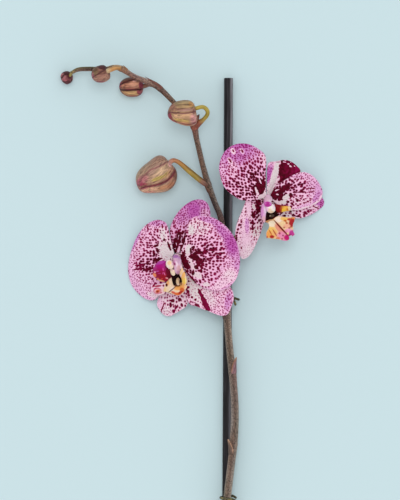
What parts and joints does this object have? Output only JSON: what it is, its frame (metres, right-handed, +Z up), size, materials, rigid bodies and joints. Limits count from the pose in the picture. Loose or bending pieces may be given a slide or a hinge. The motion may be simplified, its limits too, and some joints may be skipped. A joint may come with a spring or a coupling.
{
  "type": "orchid flower spike",
  "caption": "Cut orchid spike tied to a straight cane, with open spotted flowers, closed buds and an arching tip; it lies flat.",
  "frame": {"origin": "bottom centre of the whole spike's bounding box, as it lies", "axes": "+Y along the cane from the cut ends to its top, +X to the right of it, +Z up, the way the flowers look"},
  "size_m": [0.1972, 0.3462, 0.0413],
  "materials": {
    "cane_black": "black-lacquered cane",
    "tie_green": "soft plant tie, dull",
    "stem_brown": "plant stem, satin",
    "bract_pink": "dry bract, matte",
    "pedicel_olive": "plant stem, satin",
    "bud_tan": "closed bud, satin",
    "petal_pink": "spotted petal, satin",
    "column_blush": "waxy",
    "cap_cream": "waxy",
    "lip_yellow": "waxy"
  },
  "bodies": {
    "root": {"support_cane": "cane_black", "lower_tie": "tie_green", "upper_tie": "tie_green", "flower_stem": "stem_brown", "lower_bract": "bract_pink", "upper_bract": "bract_pink", "flower_a_bract": "bract_pink", "flower_b_bract": "bract_pink", "bud_1_bract": "bract_pink", "bud_2_bract": "bract_pink", "bud_3_bract": "bract_pink", "bud_4_bract": "bract_pink", "bud_1": "bud_tan", "bud_2": "bud_tan", "bud_3": "bud_tan", "bud_4": "bud_tan", "bud_5": "bud_tan", "bud_1_pedicel": "pedicel_olive", "bud_2_pedicel": "pedicel_olive", "bud_3_pedicel": "pedicel_olive", "bud_4_pedicel": "pedicel_olive", "bud_5_pedicel": "pedicel_olive", "flower_a_pedicel": "pedicel_olive", "flower_a_dorsal_sepal": "petal_pink", "flower_a_left_petal": "petal_pink", "flower_a_right_petal": "petal_pink", "flower_a_left_lateral_sepal": "petal_pink", "flower_a_right_lateral_sepal": "petal_pink", "flower_a_lip": "lip_yellow", "flower_a_column": "column_blush", "flower_a_anther_cap": "cap_cream", "flower_b_pedicel": "pedicel_olive", "flower_b_dorsal_sepal": "petal_pink", "flower_b_left_petal": "petal_pink", "flower_b_right_petal": "petal_pink", "flower_b_left_lateral_sepal": "petal_pink", "flower_b_right_lateral_sepal": "petal_pink", "flower_b_lip": "lip_yellow", "flower_b_column": "column_blush", "flower_b_anther_cap": "cap_cream"}
  },
  "joints": []
}
